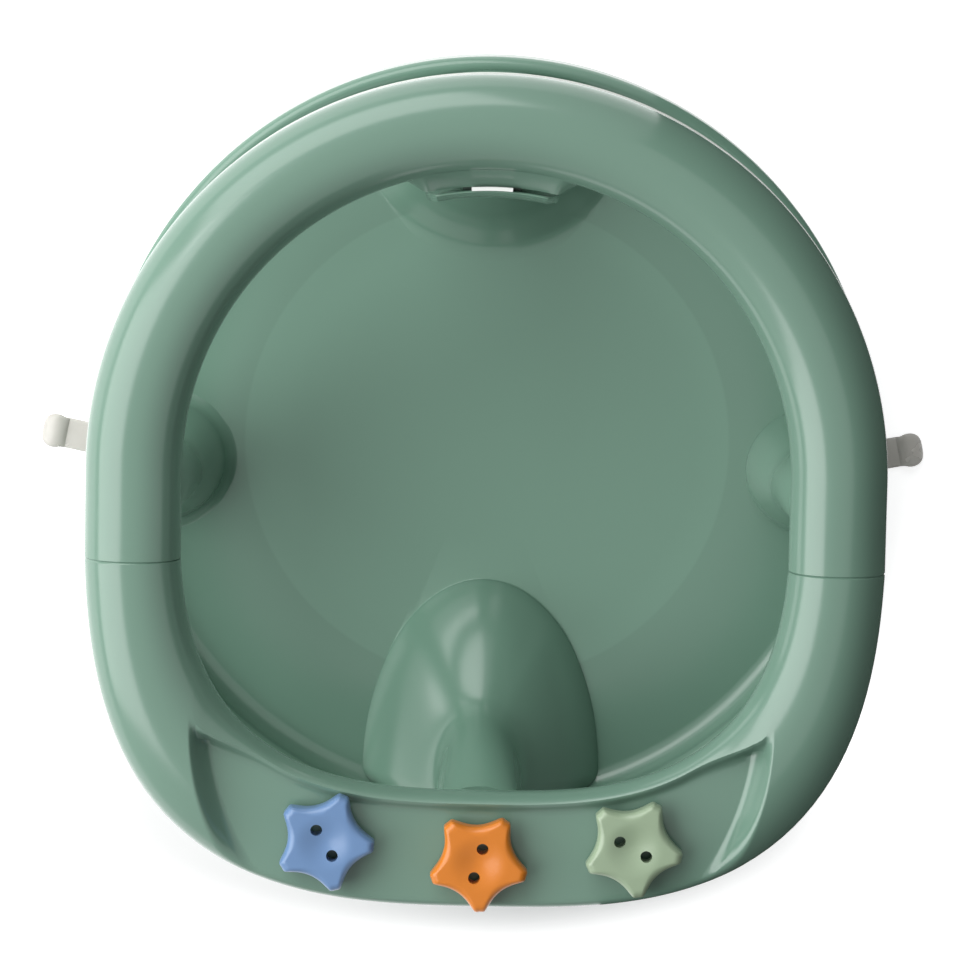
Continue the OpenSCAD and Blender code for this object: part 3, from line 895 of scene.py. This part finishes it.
def star_rows(spot, spin):
    profile = [(0.6, 0.0), (0.0, 0.6)] + [(0.0, 0.6 + k * 1.4) for k in (1, 2, 3)]
    for turn in [radians(9 * k) for k in range(11)]:
        profile.append((STAR_EDGE * (1 - cos(turn)), STAR_H - STAR_EDGE * (1 - sin(turn))))
    rows = []
    angles = [2 * k for k in range(180)]
    for inset, up in profile:
        rows.append([star_spot(spot, spin, a, star_edge(a) - inset, STAR_LOW + up) for a in angles])
    for k in range(1, 15):
        share = 1 - k / 15
        row = []
        for a in angles:
            r = (star_edge(a) - STAR_EDGE) * share
            sag = DISH * (1 - ease(r / DISH_R))
            row.append(star_spot(spot, spin, a, r, STAR_LOW + STAR_H - sag))
        rows.append(row)
    return rows


def star_spot(spot, spin, degrees, radius, z):
    turn = radians(degrees + spin)
    return (spot[0] + radius * cos(turn), spot[1] + radius * sin(turn), z)


def star(name, i, material, body, node):
    spot, spin = STAR_SPOTS[i], STAR_TURNS[i]
    made = skin(name, star_rows(spot, spin), ends="fan")
    collar = peg("collar", COLLAR_R, PANEL_Z + STAR_CLEAR, STAR_LOW + 1, spot)
    cut_or_join(made, [peg("hub", HUB_R, HUB_LOW, STAR_LOW + 1, spot), collar], "UNION")
    holes = []
    for side in (-1, 1):
        centre = star_spot(spot, spin, 0, side * STAR_HOLE_GAP / 2, 0)[:2]
        holes.append(peg("hole", STAR_HOLE_D / 2, PANEL_Z, STAR_LOW + STAR_H + 1, centre))
    holes.append(peg("hole", STAR_SCREW_R, HUB_LOW - 1, HUB_LOW + STAR_SCREW_TOP, spot))
    cut_or_join(made, holes, "DIFFERENCE")
    dress(made, material, body, [node], sharp=45)


star("blue_star", 0, blue_plastic, "blue_spinner", "star_blue")
star("orange_star", 1, orange_plastic, "orange_spinner", "star_orange")
star("green_star", 2, pale_green_plastic, "green_spinner", "star_green")

# %% [markdown]
# ## Suction cups and pull tabs
# A cup is lathed: a thin lip on the bath, a hollow under it, and a neck with a plug that goes up into the
# post's column. From its side a strap reaches past the rim and ends in a fat round bead to pull on.

# %% Build the cups
CUP_R = 22
PLUG_H = 8
PLUG_R = HOLE_R - 0.01
TAB_W = 13.6
TAB_T = 1.8
TAB_LOW = 0.4               # the strap lies so far above the bath
TAB_TURN = 15
TAB_OUT = 25                # reach of the tabs past the base
TAB_OUT_LEFT = 29
TAB_BEAD_L = 11.5
TAB_BEAD_W = 15.2
TAB_BEAD_H = 4.8


def cup_outline():
    lip, edge_t, hollow_z = 3, 1.6, 6.5
    neck_r, neck_z = COLUMN_R + 0.4, COLUMN_LOW - 4
    hollow = [((CUP_R - lip) * k / 12, hollow_z * (1 - (k / 12) ** 2)) for k in range(13)]
    back = [(mix(CUP_R, neck_r, k / 12), mix(edge_t, neck_z, (k / 12) ** 1.5)) for k in range(13)]
    plug_top = COLUMN_LOW + PLUG_H
    plug = [(neck_r, COLUMN_LOW), (PLUG_R, COLUMN_LOW), (PLUG_R, plug_top - 2)]
    plug += [(HOLE_R - 1.2, plug_top), (0, plug_top)]
    return hollow + [(CUP_R, 0)] + back + plug


def tab_rows(centre, turn, out):
    """Ovals along the strap, which swell to the bead at its end."""
    long = TAB_BEAD_L / 2
    middle = BASE_R + out - POST_R - long
    marks = [mix(CUP_R - 3, middle - long, k / 10) for k in range(10)]
    marks += [middle + long * sin(radians(mix(-80, 88, k / 20))) for k in range(21)]
    c, s = cos(radians(turn)), sin(radians(turn))
    rows = []
    for along in marks:
        share = max(0, 1 - ((along - middle) / long) ** 2) ** 0.5
        strap_w, strap_t = (TAB_W, TAB_T) if along < middle else (0.1, 0.05)
        half = max(strap_w / 2, TAB_BEAD_W / 2 * share ** 0.6)
        high = max(strap_t, TAB_BEAD_H * share)
        mid = TAB_LOW + max(TAB_T / 2, TAB_BEAD_H / 2 * share)
        row = []
        for angle in [2 * pi * k / 32 for k in range(32)]:
            across = half * bend(cos(angle), 2 / 3)
            z = mid + high / 2 * bend(sin(angle), 2 / 3)
            row.append((centre[0] + along * c - across * s, centre[1] + along * s + across * c, z))
        rows.append(row)
    return rows


def cup(name, post, tab_turn, node, out=TAB_OUT):
    centre = spot_at(post.turn, post.out)
    made = lathed(name, cup_outline(), centre, 96)
    tab = skin("tab", tab_rows(centre, post.turn + tab_turn, out), ends="fan")
    weld(tab)
    cut_or_join(made, [tab], "UNION")
    dress(made, cup_vinyl, "seat", [node])


cup("front_cup", POSTS[0], 180, "cup_front")
cup("right_cup", POSTS[1], TAB_TURN, "cup_right")
cup("left_cup", POSTS[2], -TAB_TURN, "cup_left", TAB_OUT_LEFT)
cup("back_cup", POSTS[3], 180, "cup_back")

# %% [markdown]
# ## The catch, the screws and the washers
# A small white catch fills the middle of the slit between the ring and the back post. It, the screws and
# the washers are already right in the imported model, so they only get their finish.

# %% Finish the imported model's own small pieces
FINISHES = {"back_catch": catch_plastic, "post_screws": screw_steel}
for side in ("left", "middle", "right"):
    FINISHES["star_screw_" + side] = screw_steel
    FINISHES["star_washer_" + side] = washer_nylon
for node, material in FINISHES.items():
    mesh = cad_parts[node].data
    mesh.materials.clear()
    mesh.materials.append(material)
print("finished", sorted(FINISHES))

# %% [markdown]
# ## Floor and background
# The seat stands on a white sheet that is a plain pale surface to the light that bounces. To the camera, to
# gloss and to clear parts it also glows a little, which makes it pure white. An oval round the front of the
# seat is left out of that glow, so the shadow there stays visible. Seen from below the sheet is clear.

# %% Floor and world
SHADE_SPOT = (-0.008, -0.165, 0)    # middle of the oval that doesn't glow, in metres, with x scaled
SHADE_FLAT = (0.35, 1, 0)           # scale of x and y in it, which makes it wide
SHADE_FROM = 0.044                  # from here outward the glow rises, and from SHADE_TO it is full
SHADE_TO = 0.075
FLOOR_GLOW = 0.75
AIR_LIGHT = 0.28                    # light of the pale surroundings


def seen_directly(paint):
    """1 for rays from the camera, from gloss and through clear parts, 0 for the light that bounces."""
    path = paint.node("ShaderNodeLightPath").socket.node
    rays = [Wire(paint, path.outputs[f"Is {kind} Ray"]) for kind in ("Camera", "Glossy", "Transmission")]
    return rays[0] + rays[1] + rays[2]


def mix_shaders(paint, factor, first, second):
    return paint.node("ShaderNodeMixShader", None, {0: factor, 1: first, 2: second})


def floor_paint(name):
    paint = Paint(bpy.data.materials.new(name))
    shown = seen_directly(paint)
    sheet = paint.node("ShaderNodeBsdfDiffuse", None, {"Color": (0.8, 0.8, 0.8, 1)})
    spot = paint.node("ShaderNodeTexCoord", output=3)
    flat = paint.node("ShaderNodeVectorMath", {"operation": "MULTIPLY"}, {0: spot, 1: SHADE_FLAT})
    away = paint.node("ShaderNodeVectorMath", {"operation": "DISTANCE"}, {0: flat, 1: SHADE_SPOT}, 1)
    lift = paint.node("ShaderNodeMapRange", {"interpolation_type": "SMOOTHSTEP"},
        {"Value": away, "From Min": SHADE_FROM, "From Max": SHADE_TO})
    glow = paint.node("ShaderNodeEmission", None, {"Strength": FLOOR_GLOW})
    both = paint.node("ShaderNodeAddShader", None, {0: sheet, 1: glow})
    mixed = mix_shaders(paint, shown * lift, sheet, both)
    underside = paint.node("ShaderNodeNewGeometry", output=6)
    clear = paint.node("ShaderNodeBsdfTransparent")
    paint.feed(paint.output().inputs["Surface"], mix_shaders(paint, underside, mixed, clear))
    return paint.owner


def world_paint():
    world = bpy.data.worlds.new("studio")
    paint = Paint(world)
    bpy.context.scene.world = world
    air = paint.node("ShaderNodeBackground", None, {"Color": (0.97, 0.99, 1.0, 1), "Strength": AIR_LIGHT})
    white = paint.node("ShaderNodeBackground", None, {"Color": (1, 1, 1, 1), "Strength": 1.0})
    paint.feed(paint.output().inputs["Surface"], mix_shaders(paint, seen_directly(paint), air, white))


FLOOR_HALF = 3000
FLOOR_LEVEL = -0.05
edges = [[(x, y, FLOOR_LEVEL) for x in (-FLOOR_HALF, FLOOR_HALF)] for y in (-FLOOR_HALF, FLOOR_HALF)]
floor = skin("floor", edges, around=False)
floor.data.materials.append(floor_paint("white_sheet"))
world_paint()
print("floor", floor.name, "world", bpy.context.scene.world.name)

# %% [markdown]
# ## Lights
# Two broad soft lights stand behind the seat and on its left. They give the bright bands on the left of every
# round form. The right and the front stay in shade, lifted only by the pale surroundings. A dark card bends
# round the right side, close by. Neither the camera nor plain bounced light sees it, and its reflection
# darkens the ring's right edge.

# %% Place the lights
LAMP_AIM = Vector((0, 0, 0.08))
FLAG_R = 212                # distance of the card from the centre
FLAG_TOP = 290
FLAG_TURNS = range(-75, 66, 5)


def softbox(name, spot, width, height, power):
    """A rectangular lamp at a spot in metres that points at the seat."""
    data = bpy.data.lights.new(name, "AREA")
    data.shape = "RECTANGLE"
    data.size = width
    data.size_y = height
    data.energy = power
    lamp = bpy.data.objects.new(name, data)
    bpy.context.scene.collection.objects.link(lamp)
    lamp.location = spot
    lamp.rotation_euler = (LAMP_AIM - Vector(spot)).to_track_quat("-Z", "Y").to_euler()


softbox("key_light", (-0.75, 1.45, 1.2), 1.7, 1.4, 29)
softbox("left_light", (-1.6, -0.05, 1.4), 1.9, 2.2, 58)


def flag_rows():
    """Upright lines of a curved card that stands close by the seat's right side."""
    return [[turned(FLAG_R, turn, z) for z in (0, FLAG_TOP)] for turn in FLAG_TURNS]


card_black = plastic("card_black", srgb(36, 32, 26), 0.9)
card = skin("black_card", flag_rows(), around=False)
card.data.materials.append(card_black)
card.visible_camera = False
card.visible_diffuse = False
card.visible_shadow = False

# %% [markdown]
# ## Camera
# The picture looks almost straight down, from a little behind the seat, with a long lens. The camera is
# placed by its distance, its tilt away from the vertical and a slight roll.

# %% Place the camera
CAMERA_FAR = 2350
CAMERA_TILT = 7.0           # degrees
CAMERA_ROLL = 1.2
CAMERA_AIM = (-0.5, -11.4, 90)
LENS_PIXELS = 5406.7        # distance of the picture plane in pixels of the photo
PHOTO_WIDTH = 970

data = bpy.data.cameras.new("camera")
data.sensor_fit = "HORIZONTAL"
data.sensor_width = 36
data.lens = LENS_PIXELS * data.sensor_width / PHOTO_WIDTH
data.clip_end = 100
camera = bpy.data.objects.new("camera", data)
bpy.context.scene.collection.objects.link(camera)
tilt, roll = radians(CAMERA_TILT), radians(CAMERA_ROLL)
ahead = Vector((0, -sin(tilt), -cos(tilt)))
right = Vector((1, 0, 0))
up = right.cross(ahead)
side = right * cos(roll) + up * sin(roll)
top = up * cos(roll) - right * sin(roll)
aim = place(*CAMERA_AIM)
turn = Matrix((side, top, -ahead)).transposed().to_4x4()
camera.matrix_world = Matrix.Translation(aim - ahead * CAMERA_FAR * MM) @ turn
bpy.context.scene.camera = camera
bpy.context.scene.view_settings.view_transform = "Standard"
print("lens", round(data.lens, 1), "mm")

# %% [markdown]
# ## Count the faces and finish
# The faces of all dressed pieces are counted. The box of the imported model and the box of the dressed one
# should agree to a few millimetres.

# %% Count the faces and finish
print("faces in all", sum(PIECES.values()))
